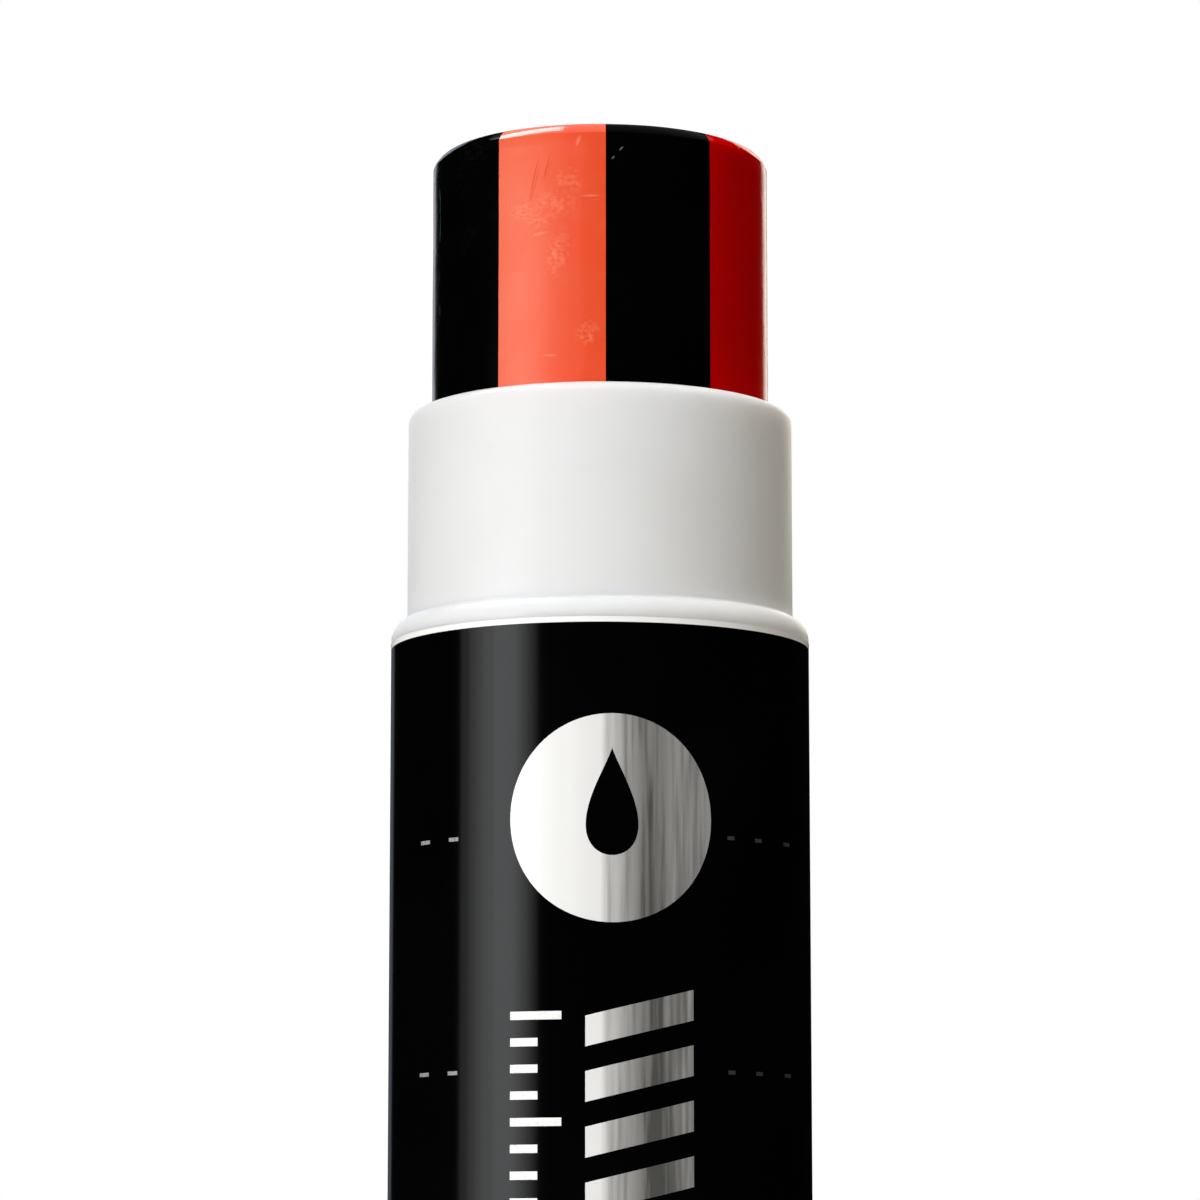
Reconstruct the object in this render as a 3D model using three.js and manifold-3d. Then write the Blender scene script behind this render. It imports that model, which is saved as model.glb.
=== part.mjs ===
// Twist-up solid paint marker with a striped paint stick, uncapped, standing on its twist knob.
// Millimetres, +Z up. The origin is the middle of the knob's foot, and the front faces -Y.
// Turning the knob turns a coarse two-start screw. The keyed carrier climbs it and lifts the stick.
import * as THREE from "three";
import { mergeVertices } from "three/addons/utils/BufferGeometryUtils.js";
import Module from "manifold-3d";

// Paint stick, cast as wedges of alternating colours
const paintDiameter = 14.6;
const paintLength = 74;
const paintShown = 11.3;
const retractDepth = 0.7;
const paintClearance = 0.15;
const paintEdgeRadius = 0.3;
const paintStubClearance = 0.3;
const frontWedgeAngle = 38;
const frontWedgeCount = 2;
const wedgeCount = 8;
const frontSeamAngle = 1.9;

// Body tube with its cap neck and stop flange, and the printed film round it
const tubeWall = 1.3;
const neckWall = 0.85;
const filmThickness = 0.2;
const filmClearance = 0.05;
const tailLipHeight = 1.2;
const tailChamfer = 0.35;
const flangeHeight = 1.15;
const shoulderSlope = 30;
const shoulderRadius = 0.2;
const neckHeight = 9.1;
const neckFillet = 0.15;
const rimRadius = 0.45;
const mouthChamfer = 0.2;

// Carrier: cup above, keyed skirt below, threaded hub in the middle
const cupWall = 0.6;
const cupDepth = 4.8;
const cupStopDepth = 3.9;
const carrierFloor = 1.2;
const skirtHeight = 8;
const skirtWall = 0.8;
const skirtParkGap = 1;
const hubDiameter = 8;
const hubSetback = 1;
const keyCount = 4;
const keyWidth = 2;
const keyHeight = 3;
const keyReach = 0.6;
const keyClearance = 0.2;
const windowWidth = 3;
const windowHeight = 2.2;

// Lead screw
const screwDiameter = 5.6;
const screwRootDiameter = 3.8;
const screwLead = 6;
const screwStarts = 2;
const crestShare = 0.3;
const flankShare = 0.16;
const threadClearance = 0.25;
const threadAboveNut = 6;
const screwTipHeight = 1.2;
const screwTipChamfer = 0.4;
const screwHoleClearance = 0.4;
const screwHoleEndGap = 1;
const screwFlangeDiameter = 10.8;
const screwFlangeHeight = 1.2;
const driveWidth = 4.4;
const driveClearance = 0.1;

// Twist knob
const knobHeight = 12;
const knobSetback = 0.3;
const knobRunGap = 0.3;
const knobFloor = 1.1;
const footDish = 0.5;
const footRingWidth = 1.8;
const footRound = 0.6;
const knobBandHeight = 1.4;
const knobTopChamfer = 0.35;
const fluteCount = 30;
const fluteDepth = 0.35;
const bandReach = 0.15;
const sleeveHeight = 5;
const sleeveWall = 0.95;
const sleeveClearance = 0.2;
const beadHeight = 1;
const beadReach = 0.35;
const beadClearance = 0.25;
const bossDiameter = 8.4;
const bossDrop = 1;
const socketFloor = 0.7;
const webCount = 6;
const webThickness = 0.8;
const webDrop = 2.5;

// Facets
const roundSteps = 60;
const filletSteps = 4;
const fluteSteps = 6;
const threadStepsPerTurn = 12;
const nutFineness = 2;
const cutMargin = 1;

// Radii that follow from the sizes above
const paintRadius = paintDiameter / 2;
const boreRadius = paintRadius + paintClearance;
const neckRadius = boreRadius + neckWall;
const recessRadius = boreRadius + tubeWall;
const bodyRadius = recessRadius + filmClearance + filmThickness;
const knobRadius = bodyRadius - knobSetback;
const keyOuter = paintRadius + keyReach;
const screwRadius = screwDiameter / 2;
const screwHoleRadius = screwRadius + screwHoleClearance;
const sleeveRadius = boreRadius - sleeveClearance;
const sleeveBore = sleeveRadius - sleeveWall;

// Levels that follow from them, from the foot up
const knobInside = footDish + knobFloor;
const bossTop = knobHeight - bossDrop;
const sleeveTop = knobHeight + sleeveHeight;
const beadLow = knobHeight + sleeveHeight / 2;
const tailLevel = knobHeight + knobRunGap;
const recessLow = tailLevel + tailLipHeight;
const travelDown = paintShown + retractDepth;
const carrierLow = sleeveTop + skirtParkGap + travelDown;
const paintLow = carrierLow + skirtHeight + carrierFloor;
const cupTop = paintLow + cupDepth;
const paintTop = paintLow + paintLength;
const rimLevel = paintTop - paintShown;
const neckLow = rimLevel - neckHeight;
const recessHigh = neckLow - flangeHeight;
const shoulderTilt = THREE.MathUtils.degToRad(shoulderSlope);
const shoulderRun =
  bodyRadius - neckRadius - neckFillet - shoulderRadius * (1 - Math.sin(shoulderTilt));
const shoulderFall = shoulderRun * Math.tan(shoulderTilt);
const shoulderCentre = neckLow - shoulderFall - shoulderRadius * Math.cos(shoulderTilt);
const travelUp = rimLevel - cupStopDepth - cupTop;
const keywayTop = carrierLow + travelUp + keyHeight + keyClearance;
const threadStep = screwLead / threadStepsPerTurn;
const threadTop = carrierLow + travelUp + threadAboveNut;
const screwTop = threadTop + screwTipHeight;
const screwHoleTop = screwTop + travelDown + screwHoleEndGap;

const wasm = await Module();
wasm.setup();

// Solids and geometries

function toSolid(geometry) {
  const bare = geometry.clone();
  bare.deleteAttribute("normal");
  bare.deleteAttribute("uv");
  const merged = mergeVertices(bare, 1e-5);
  return new wasm.Manifold(
    new wasm.Mesh({
      numProp: 3,
      vertProperties: merged.attributes.position.array,
      triVerts: new Uint32Array(merged.index.array),
    }),
  );
}

function toGeometry(solid) {
  const mesh = solid.getMesh();
  const positions = new Float32Array(mesh.numVert * 3);
  for (let i = 0; i < mesh.numVert; i++) {
    const start = i * mesh.numProp;
    positions.set(mesh.vertProperties.subarray(start, start + 3), i * 3);
  }
  const geometry = new THREE.BufferGeometry();
  geometry.setAttribute("position", new THREE.BufferAttribute(positions, 3));
  geometry.setIndex(new THREE.BufferAttribute(new Uint32Array(mesh.triVerts), 1));
  geometry.computeVertexNormals();
  return geometry;
}

// A profile is a list of [radius, height], taken anticlockwise, and its angle 0 is the front.
function revolve(profile, steps = roundSteps) {
  const points = profile.map(([radius, height]) => new THREE.Vector2(radius, height));
  return new THREE.LatheGeometry([...points, points[0]], steps).rotateX(Math.PI / 2);
}

function extrude(shape, low, high, steps = 1) {
  const options = { depth: high - low, steps, bevelEnabled: false, curveSegments: filletSteps };
  return new THREE.ExtrudeGeometry(shape, options).translate(0, 0, low);
}

// Points of a quarter round from one angle to another, in degrees, about a centre in the profile.
function roundCorner(centreRadius, centreHeight, size, from, to) {
  return Array.from({ length: filletSteps + 1 }, (_, i) => {
    const angle = THREE.MathUtils.degToRad(from + ((to - from) * i) / filletSteps);
    return [centreRadius + size * Math.cos(angle), centreHeight + size * Math.sin(angle)];
  });
}

// A box from one radius to another, across the line that leaves the axis at an angle from +X.
function radialBox(inner, outer, width, low, high, angle) {
  return new THREE.BoxGeometry(outer - inner, width, high - low)
    .translate((inner + outer) / 2, 0, (low + high) / 2)
    .rotateZ(angle);
}

function around(count, makeSolid, phase = 0) {
  const turn = (2 * Math.PI) / count;
  return wasm.Manifold.union(Array.from({ length: count }, (_, i) => makeSolid(phase + i * turn)));
}

// Body tube with the cap neck, the stop flange, the film's recess and the keyed bore
function makeBarrel() {
  const grooveRadius = sleeveRadius + beadReach + beadClearance;
  const grooveLow = beadLow - beadClearance;
  const grooveHigh = beadLow + beadHeight + beadClearance;
  const grooveSlope = grooveRadius - boreRadius;
  const tube = toSolid(
    revolve([
      [boreRadius + tailChamfer, tailLevel],
      [bodyRadius - tailChamfer, tailLevel],
      [bodyRadius, tailLevel + tailChamfer],
      [bodyRadius, recessLow],
      [recessRadius, recessLow],
      [recessRadius, recessHigh],
      [bodyRadius, recessHigh],
      ...roundCorner(
        bodyRadius - shoulderRadius,
        shoulderCentre,
        shoulderRadius,
        0,
        90 - shoulderSlope,
      ),
      [neckRadius + neckFillet, neckLow],
      [neckRadius, neckLow + neckFillet],
      ...roundCorner(neckRadius - rimRadius, rimLevel - rimRadius, rimRadius, 0, 90),
      [boreRadius + mouthChamfer, rimLevel],
      [boreRadius, rimLevel - mouthChamfer],
      [boreRadius, grooveHigh + grooveSlope],
      [grooveRadius, grooveHigh],
      [grooveRadius, grooveLow],
      [boreRadius, grooveLow - grooveSlope],
      [boreRadius, tailLevel + tailChamfer],
    ]),
  );
  const keyways = around(keyCount, (angle) =>
    toSolid(
      radialBox(
        boreRadius - cutMargin,
        keyOuter + keyClearance,
        keyWidth + 2 * keyClearance,
        tailLevel - cutMargin,
        keywayTop,
        angle,
      ),
    ),
  );
  return toGeometry(tube.subtract(keyways));
}

// Printed film wrapped round the tube, flush with the flange and the tail lip
function makeFilm() {
  const inner = recessRadius + filmClearance;
  const low = recessLow + filmClearance;
  const high = recessHigh - filmClearance;
  return revolve([
    [inner, low],
    [bodyRadius, low],
    [bodyRadius, high],
    [inner, high],
  ]);
}

// Seams of the stick in degrees from the front, towards +X. The two front wedges are narrower.
function seamAngles() {
  const otherAngle = (360 - frontWedgeCount * frontWedgeAngle) / (wedgeCount - frontWedgeCount);
  const angles = [frontSeamAngle - frontWedgeAngle, frontSeamAngle, frontSeamAngle + frontWedgeAngle];
  while (angles.length < wedgeCount) {
    angles.push(angles.at(-1) + otherAngle);
  }
  return [...angles, angles[0] + 360];
}

// One wedge of the stick: a sector of the stick's half section, closed by its two seam faces.
function makeWedge(fromDegrees, toDegrees) {
  const stubRadius = paintRadius - cupWall - paintStubClearance;
  const stubTop = cupTop + paintStubClearance;
  const section = [
    [screwHoleRadius, paintLow],
    [stubRadius, paintLow],
    [stubRadius, stubTop],
    [paintRadius, stubTop],
    ...roundCorner(paintRadius - paintEdgeRadius, paintTop - paintEdgeRadius, paintEdgeRadius, 0, 90),
    [0, paintTop],
    [0, screwHoleTop],
    [screwHoleRadius, screwHoleTop],
  ];
  const outline = section.map(([radius, height]) => new THREE.Vector2(radius, height));
  const caps = THREE.ShapeUtils.triangulateShape(outline, []);
  const steps = Math.ceil(((toDegrees - fromDegrees) * roundSteps) / 360);
  const count = section.length;
  const positions = [];
  for (let step = 0; step <= steps; step++) {
    const angle = THREE.MathUtils.degToRad(fromDegrees + ((toDegrees - fromDegrees) * step) / steps);
    for (const [radius, height] of section) {
      positions.push(radius * Math.sin(angle), -radius * Math.cos(angle), height);
    }
  }
  const faces = [];
  for (let step = 0; step < steps; step++) {
    for (let i = 0; i < count; i++) {
      const next = (i + 1) % count;
      const [a, b] = [step * count + i, step * count + next];
      const [c, d] = [b + count, a + count];
      if (section[i][0] > 0) {
        faces.push(a, d, section[next][0] > 0 ? c : b);
      }
      if (section[next][0] > 0) {
        faces.push(a, c, b);
      }
    }
  }
  const last = steps * count;
  for (const [a, b, c] of caps) {
    faces.push(a, b, c, last + a, last + c, last + b);
  }
  const geometry = new THREE.BufferGeometry();
  geometry.setAttribute("position", new THREE.Float32BufferAttribute(positions, 3));
  geometry.setIndex(faces);
  geometry.computeVertexNormals();
  return geometry;
}

// Cross-section of the thread: per start, a crest arc, a flank down, a root arc and a flank up.
function threadShape(clearance, arcSteps) {
  const startAngle = (2 * Math.PI) / screwStarts;
  const crestEnd = crestShare / 2 + (clearance * screwStarts) / screwLead;
  const rootEnd = crestEnd + flankShare;
  const corners = [];
  const addArc = (start, from, to, radius) => {
    for (let i = 0; i <= arcSteps; i++) {
      const angle = (start + from + ((to - from) * i) / arcSteps) * startAngle;
      corners.push(new THREE.Vector2(radius * Math.cos(angle), radius * Math.sin(angle)));
    }
  };
  for (let start = 0; start < screwStarts; start++) {
    addArc(start, -crestEnd, crestEnd, screwRadius + clearance);
    addArc(start, rootEnd, 1 - rootEnd, screwRootDiameter / 2 + clearance);
  }
  return new THREE.Shape(corners);
}

// The cross-section turns with height, left-handed, so that turning the knob one way lifts the stick.
// Both ends are rounded up to whole facets, counted from the carrier, so screw and nut match.
function makeThread(clearance, low, high, fineness = 1) {
  const stepHeight = threadStep / fineness;
  const firstStep = Math.ceil((low - carrierLow) / stepHeight);
  const lastStep = Math.ceil((high - carrierLow) / stepHeight);
  const geometry = extrude(
    threadShape(clearance, 2 * fineness),
    carrierLow + firstStep * stepHeight,
    carrierLow + lastStep * stepHeight,
    lastStep - firstStep,
  );
  const position = geometry.attributes.position;
  const point = new THREE.Vector3();
  const axis = new THREE.Vector3(0, 0, 1);
  for (let i = 0; i < position.count; i++) {
    point.fromBufferAttribute(position, i);
    point.applyAxisAngle(axis, (-2 * Math.PI * (point.z - carrierLow)) / screwLead);
    position.setXYZ(i, point.x, point.y, point.z);
  }
  return toSolid(geometry);
}

function hexagon(width) {
  const corners = Array.from({ length: 6 }, (_, i) => {
    const angle = (i * Math.PI) / 3;
    const reach = width / Math.sqrt(3);
    return new THREE.Vector2(reach * Math.cos(angle), reach * Math.sin(angle));
  });
  return new THREE.Shape(corners);
}

// Cup for the foot of the stick, keyed skirt, and a hub that is the screw's nut
function makeCarrier() {
  const floorLow = carrierLow + skirtHeight;
  const body = toSolid(
    revolve([
      [paintRadius - skirtWall, carrierLow],
      [paintRadius, carrierLow],
      [paintRadius, cupTop],
      [paintRadius - cupWall, cupTop],
      [paintRadius - cupWall, paintLow],
      [0, paintLow],
      [0, carrierLow + hubSetback],
      [hubDiameter / 2, carrierLow + hubSetback],
      [hubDiameter / 2, floorLow],
      [paintRadius - skirtWall, floorLow],
    ]),
  );
  const keys = around(keyCount, (angle) =>
    toSolid(
      radialBox(paintRadius - skirtWall / 2, keyOuter, keyWidth, carrierLow, carrierLow + keyHeight, angle),
    ),
  );
  const windowLow = paintLow + (cupDepth - windowHeight) / 2;
  const windows = around(
    keyCount,
    (angle) =>
      toSolid(
        radialBox(
          paintRadius - cupWall - cutMargin,
          paintRadius + cutMargin,
          windowWidth,
          windowLow,
          windowLow + windowHeight,
          angle,
        ),
      ),
    Math.PI / keyCount,
  );
  const nut = makeThread(threadClearance, carrierLow, paintLow + cutMargin, nutFineness);
  return toGeometry(body.add(keys).subtract(windows).subtract(nut));
}

// Lead screw: hexagonal drive, thrust flange, journal, two-start thread and a plain tip
function makeScrew() {
  const flangeTop = bossTop + screwFlangeHeight;
  const driveLow = knobInside + socketFloor + driveClearance;
  const rootRadius = screwRootDiameter / 2;
  const drive = toSolid(extrude(hexagon(driveWidth), driveLow, bossTop + screwFlangeHeight / 2));
  const journal = toSolid(
    revolve(
      [
        [0, bossTop],
        [screwFlangeDiameter / 2, bossTop],
        [screwFlangeDiameter / 2, flangeTop],
        [screwRadius + screwFlangeHeight, flangeTop],
        [screwRadius, flangeTop + screwFlangeHeight],
        [screwRadius, sleeveTop + 2 * threadStep],
        [0, sleeveTop + 2 * threadStep],
      ],
      roundSteps / 2,
    ),
  );
  const tip = toSolid(
    revolve(
      [
        [0, threadTop - screwTipHeight],
        [rootRadius - screwTipChamfer, threadTop - screwTipHeight],
        [rootRadius - screwTipChamfer / 4, threadTop],
        [rootRadius - screwTipChamfer / 4, screwTop - screwTipChamfer],
        [rootRadius - screwTipChamfer, screwTop],
        [0, screwTop],
      ],
      roundSteps / 4,
    ),
  );
  return toGeometry(makeThread(0, sleeveTop, threadTop).add(journal).add(drive).add(tip));
}

function fluteOutline() {
  const count = fluteCount * fluteSteps;
  const points = Array.from({ length: count }, (_, i) => {
    const angle = (2 * Math.PI * i) / count;
    const share = (i % fluteSteps) / fluteSteps;
    const dip = Math.max(0, Math.sin(Math.PI * (share * 1.5 - 0.25)));
    const radius = knobRadius - bandReach - fluteDepth * dip;
    return new THREE.Vector2(radius * Math.cos(angle), radius * Math.sin(angle));
  });
  return new THREE.Shape(points);
}

// Fluted grip with a dished foot, a snap sleeve and a webbed socket for the screw
function makeKnob() {
  const bandTop = knobHeight - knobBandHeight;
  const coreRadius = knobRadius - bandReach - fluteDepth - fluteDepth / 3;
  const shell = toSolid(
    revolve([
      [0, footDish],
      [knobRadius - footRound - footRingWidth, footDish],
      [knobRadius - footRound - footRingWidth + footDish, 0],
      ...roundCorner(knobRadius - footRound, footRound, footRound, -90, 0),
      [knobRadius, knobBandHeight],
      [coreRadius, knobBandHeight],
      [coreRadius, bandTop],
      [knobRadius, bandTop],
      [knobRadius, knobHeight - knobTopChamfer],
      [knobRadius - knobTopChamfer, knobHeight],
      [sleeveRadius, knobHeight],
      [sleeveRadius, beadLow],
      [sleeveRadius + beadReach, beadLow + beadHeight / 4],
      [sleeveRadius + beadReach, beadLow + beadHeight / 2],
      [sleeveRadius, beadLow + beadHeight],
      [sleeveRadius - beadReach / 2, sleeveTop],
      [sleeveBore, sleeveTop],
      [sleeveBore, knobInside],
      [0, knobInside],
    ]),
  );
  const gripShell = toSolid(
    extrude(fluteOutline(), knobBandHeight - bandReach, bandTop + bandReach),
  ).subtract(
    toSolid(
      revolve([
        [0, 0],
        [coreRadius - fluteDepth, 0],
        [coreRadius - fluteDepth, knobHeight],
        [0, knobHeight],
      ]),
    ),
  );
  const boss = toSolid(
    revolve(
      [
        [0, knobInside - knobFloor / 2],
        [bossDiameter / 2, knobInside - knobFloor / 2],
        [bossDiameter / 2, bossTop],
        [0, bossTop],
      ],
      roundSteps / 2,
    ),
  );
  const webs = around(webCount, (angle) =>
    toSolid(
      radialBox(
        bossDiameter / 4,
        sleeveBore + sleeveWall / 2,
        webThickness,
        knobInside - knobFloor / 2,
        bossTop - webDrop,
        angle,
      ),
    ),
  );
  const socket = toSolid(
    extrude(hexagon(driveWidth + 2 * driveClearance), knobInside + socketFloor, bossTop + cutMargin),
  );
  return toGeometry(shell.add(gripShell).add(boss).add(webs).subtract(socket));
}

// Materials

const whitePlastic = new THREE.MeshStandardMaterial({ color: 0xeeede8, roughness: 0.38, metalness: 0 });
const naturalPlastic = new THREE.MeshStandardMaterial({ color: 0xdcdad2, roughness: 0.45, metalness: 0 });
const blackFilm = new THREE.MeshStandardMaterial({ color: 0x08080a, roughness: 0.16, metalness: 0 });
const paints = {
  black: new THREE.MeshStandardMaterial({ color: 0x050507, roughness: 0.22, metalness: 0 }),
  orange: new THREE.MeshStandardMaterial({ color: 0xf7532a, roughness: 0.3, metalness: 0 }),
  red: new THREE.MeshStandardMaterial({ color: 0xa00606, roughness: 0.25, metalness: 0 }),
};

// Assembly

function addPiece(group, name, geometry, material) {
  const mesh = new THREE.Mesh(geometry, material);
  mesh.name = name;
  group.add(mesh);
}

const marker = new THREE.Group();

const tubeGroup = new THREE.Group();
addPiece(tubeGroup, "barrel", makeBarrel(), whitePlastic);
addPiece(tubeGroup, "printed_film", makeFilm(), blackFilm);
marker.add(tubeGroup);

const knobGroup = new THREE.Group();
addPiece(knobGroup, "twist_knob", makeKnob(), whitePlastic);
addPiece(knobGroup, "lead_screw", makeScrew(), naturalPlastic);
marker.add(knobGroup);

const stickGroup = new THREE.Group();
addPiece(stickGroup, "carrier", makeCarrier(), naturalPlastic);
const stripeColours = ["orange", "black", "red", "black"];
const seams = seamAngles();
const made = {};
for (let i = 0; i < wedgeCount; i++) {
  const colour = stripeColours[i % stripeColours.length];
  made[colour] = (made[colour] ?? 0) + 1;
  addPiece(stickGroup, `paint_${colour}_${made[colour]}`, makeWedge(seams[i], seams[i + 1]), paints[colour]);
}
marker.add(stickGroup);

export default marker;
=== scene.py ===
# Solid paint marker: a striped stick of waxy paint in a white twist-up tube wrapped in glossy black film.
# Metres, +Z up, front towards -Y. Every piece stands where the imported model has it.
import math

import bmesh
import bpy
from mathutils import Matrix, Vector, noise


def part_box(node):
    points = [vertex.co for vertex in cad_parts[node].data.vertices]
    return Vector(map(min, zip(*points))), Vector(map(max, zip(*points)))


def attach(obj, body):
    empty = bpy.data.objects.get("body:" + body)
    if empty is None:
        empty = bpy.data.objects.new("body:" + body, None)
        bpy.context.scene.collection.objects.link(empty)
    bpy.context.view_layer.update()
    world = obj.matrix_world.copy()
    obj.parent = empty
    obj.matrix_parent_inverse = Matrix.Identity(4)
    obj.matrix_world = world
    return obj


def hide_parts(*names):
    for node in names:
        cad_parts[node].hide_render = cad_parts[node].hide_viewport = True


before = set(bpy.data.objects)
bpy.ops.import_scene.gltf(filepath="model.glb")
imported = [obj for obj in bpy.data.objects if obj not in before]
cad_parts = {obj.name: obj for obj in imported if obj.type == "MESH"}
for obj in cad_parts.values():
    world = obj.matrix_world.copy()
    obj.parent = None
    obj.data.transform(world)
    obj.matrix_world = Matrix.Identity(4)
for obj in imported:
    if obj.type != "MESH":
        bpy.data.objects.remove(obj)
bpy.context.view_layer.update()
mm = 0.001
fullTurn = 2 * math.pi


# Levels and radii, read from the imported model

barrelLow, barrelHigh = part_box("barrel")
filmLow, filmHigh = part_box("printed_film")
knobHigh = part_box("twist_knob")[1]
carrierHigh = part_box("carrier")[1]
wedgeNames = [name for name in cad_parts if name.startswith("paint_")]
wedgeBoxes = {name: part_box(name) for name in wedgeNames}

bodyRadius = barrelHigh.x
knobRadius = knobHigh.x
rimLevel = barrelHigh.z
tailLevel = barrelLow.z
filmTop = filmHigh.z
filmBottom = filmLow.z
paintTop = max(high.z for low, high in wedgeBoxes.values())
paintLow = min(low.z for low, high in wedgeBoxes.values())
paintRadius = max(max(high.x, high.y, -low.x, -low.y) for low, high in wedgeBoxes.values())
cupTop = carrierHigh.z


# Shader maths: a Wire is one output of a node, and an expression on wires adds Math nodes

class Wire:
    def __init__(self, recipe, socket):
        self.recipe = recipe
        self.socket = socket

    def maths(self, operation, *others):
        sockets = {0: self}
        for index, other in enumerate(others):
            sockets[index + 1] = other
        return self.recipe.node("Math", {"operation": operation}, sockets)

    def __add__(self, other):
        return self.maths("ADD", other)

    __radd__ = __add__

    def __mul__(self, other):
        return self.maths("MULTIPLY", other)

    __rmul__ = __mul__

    def __sub__(self, other):
        return self.maths("SUBTRACT", other)

    def __rsub__(self, other):
        return self.recipe.node("Math", {"operation": "SUBTRACT"}, {0: other, 1: self})

    def above(self, low, high):  # 0 below low, 1 above high, smooth between
        return self.recipe.node(
            "MapRange",
            {"interpolation_type": "SMOOTHSTEP"},
            {"Value": self, "From Min": low, "From Max": high, "To Min": 0.0, "To Max": 1.0},
        )

    def scaled(self, low, high):  # 0..1 to low..high
        return self * (high - low) + low

    def most(self, other):
        return self.maths("MAXIMUM", other)


class Recipe:
    def __init__(self, tree):
        self.tree = tree
        self.tree.nodes.clear()

    def node(self, kind, settings=None, sockets=None, out=0):
        made = self.tree.nodes.new("ShaderNode" + kind)
        for key, value in (settings or {}).items():
            setattr(made, key, value)
        for key, value in (sockets or {}).items():
            if isinstance(value, Wire):
                self.tree.links.new(value.socket, made.inputs[key])
            else:
                made.inputs[key].default_value = value
        return Wire(self, made.outputs[out]) if len(made.outputs) else made

    def point(self):
        return self.node("TexCoord", out=3)

    def grain(self, size, detail=3.0, stretch=(1, 1, 1), seed=0.0):  # stretch below 1 draws it out
        scale = tuple(share / size for share in stretch)
        place = self.node("Mapping", {"vector_type": "POINT"}, {"Vector": self.point(), "Scale": scale})
        sockets = {"Vector": place, "W": seed, "Scale": 1.0, "Detail": detail, "Roughness": 0.5}
        return self.node("TexNoise", {"noise_dimensions": "4D"}, sockets)

    def spot(self, mark):  # an ellipse on the front of the stick, 1 inside and 0 outside
        across, under, halfWidth, halfLength, lean = mark
        place = self.node(
            "Mapping",
            {"vector_type": "TEXTURE"},
            {
                "Vector": self.point(),
                "Location": (across * mm, 0, paintTop - under * mm),
                "Rotation": (0, math.radians(lean), 0),
                "Scale": (halfWidth * mm, 1000, halfLength * mm),
            },
        )
        return 1 - self.length(place).above(0.15, 1.0)

    def length(self, vector):
        return self.node("VectorMath", {"operation": "LENGTH"}, {0: vector}, out=1)

    def spots(self, marks):
        total = self.spot(marks[0])
        for mark in marks[1:]:
            total = total.most(self.spot(mark))
        return total

    def blend(self, share, first, second):
        return self.node("Mix", {"data_type": "RGBA"}, {0: share, 6: first, 7: second}, out=2)

    def bump(self, height, depth, strength=1.0, under=None):
        sockets = {"Height": height, "Distance": depth, "Strength": strength}
        if under:
            sockets["Normal"] = under
        return self.node("Bump", {}, sockets)

    def surface(self, **sockets):
        named = {key.replace("_", " "): value for key, value in sockets.items()}
        shader = self.node("BsdfPrincipled", {}, named)
        self.node("OutputMaterial", {}, {"Surface": shader})


def newMaterial(name):
    material = bpy.data.materials.new(name)
    material.use_nodes = True
    return material, Recipe(material.node_tree)


def grey(value):
    return (value, value, value, 1.0)


# White tube and knob: satin moulded plastic

whiteLook = {
    "colour": (0.86, 0.86, 0.858, 1),
    "shade": (0.82, 0.818, 0.81, 1),
    "roughness": (0.34, 0.44),
    "glow": 0.8,
    "glowColour": (1.0, 0.94, 0.84),
    "glowDepth": 1.8 * mm,
}


def makeWhitePlastic():
    material, r = newMaterial("satinWhitePlastic")
    cloud = r.grain(6 * mm, detail=2.0)
    orangePeel = r.grain(0.22 * mm, detail=2.0, seed=3.0)
    flow = r.grain(1.1 * mm, detail=1.0, stretch=(1, 1, 0.12), seed=5.0)
    fine = r.grain(0.05 * mm, detail=1.0, seed=8.0)
    peel = r.bump(orangePeel * 0.7 + fine * 0.3, 0.004 * mm)
    r.surface(
        Base_Color=r.blend(cloud.above(0.35, 0.7), whiteLook["colour"], whiteLook["shade"]),
        Roughness=(cloud * 0.5 + flow * 0.5).scaled(*whiteLook["roughness"]),
        IOR=1.46,
        Subsurface_Weight=whiteLook["glow"],
        Subsurface_Radius=whiteLook["glowColour"],
        Subsurface_Scale=whiteLook["glowDepth"],
        Normal=r.bump(flow, 0.01 * mm, under=peel),
    )
    return material


# Screw and carrier: the same plastic without its white pigment

naturalLook = {
    "colour": (0.66, 0.655, 0.62, 1),
    "shade": (0.56, 0.555, 0.52, 1),
    "roughness": (0.4, 0.55),
    "glow": 0.5,
    "glowColour": (1.0, 0.94, 0.82),
    "glowDepth": 1.0 * mm,
}


def makeNaturalPlastic():
    material, r = newMaterial("naturalPlastic")
    cloud = r.grain(3 * mm, detail=3.0, seed=2.0)
    speck = r.grain(0.12 * mm, detail=2.0, seed=4.0)
    r.surface(
        Base_Color=r.blend(cloud.above(0.3, 0.75), naturalLook["colour"], naturalLook["shade"]),
        Roughness=cloud.scaled(*naturalLook["roughness"]),
        IOR=1.48,
        Subsurface_Weight=naturalLook["glow"],
        Subsurface_Radius=naturalLook["glowColour"],
        Subsurface_Scale=naturalLook["glowDepth"],
        Normal=r.bump(speck, 0.01 * mm),
    )
    return material


# Film: glossy black wrap, tight on the tube

filmLook = {
    "black": (0.0006, 0.0006, 0.0007, 1),
    "haze": (0.0012, 0.0012, 0.0014, 1),
    # the film's white margin, whiter than the tube: partly a painted highlight along the flange's lower
    # edge
    "bare": (0.95, 0.95, 0.94, 1),
    "roughness": (0.1, 0.13),
    "rubbed": 0.03,
    "inside": (-0.15 * mm, -0.08 * mm),
    "printEnd": 0.01 * mm,
}


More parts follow.
